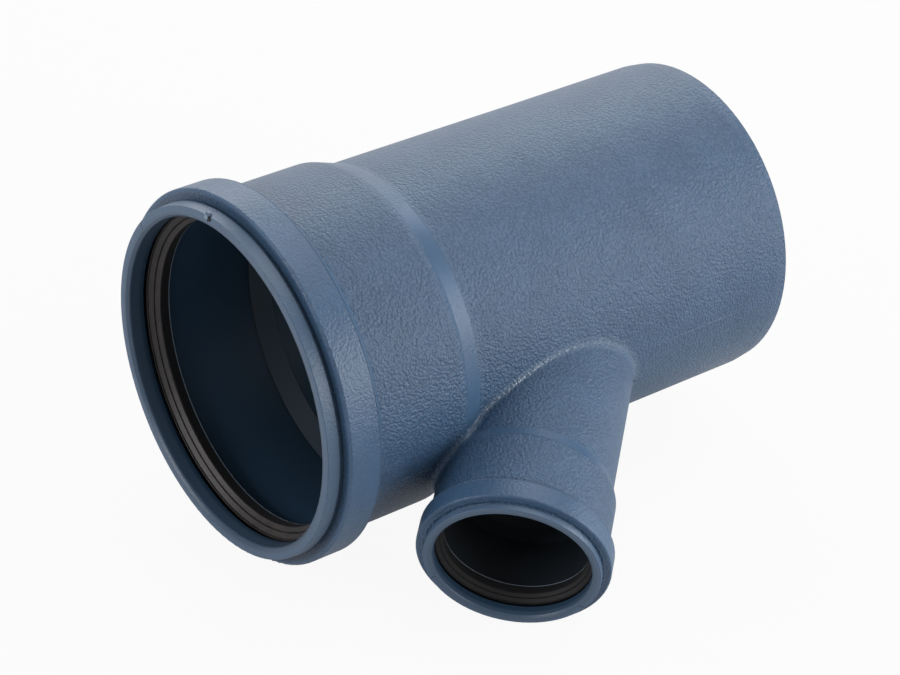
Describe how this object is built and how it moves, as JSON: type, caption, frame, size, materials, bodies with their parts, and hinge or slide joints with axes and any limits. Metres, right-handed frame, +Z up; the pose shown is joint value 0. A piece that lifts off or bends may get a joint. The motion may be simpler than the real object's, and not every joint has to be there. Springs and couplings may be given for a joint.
{
  "type": "lateral wye pipe fitting",
  "caption": "Push-fit drain pipe wye: a straight run with a socket and a plain spigot, and a smaller 45 degree branch socket, each socket with a lip seal.",
  "frame": {"origin": "on the table under the middle of the fitting's outline", "axes": "+X along the run from its socket to its spigot, +Z up; the branch leans towards -X and -Y and dips, as the fitting rests on both heads"},
  "size_m": [0.1934, 0.1764, 0.1264],
  "materials": {
    "polypropylene": "blue-grey moulded polypropylene, fine leather grain outside, smooth inside",
    "seal_rubber": "black rubber, satin"
  },
  "bodies": {
    "root": {"wye_body": "polypropylene", "run_seal": "seal_rubber", "branch_seal": "seal_rubber"}
  },
  "joints": []
}
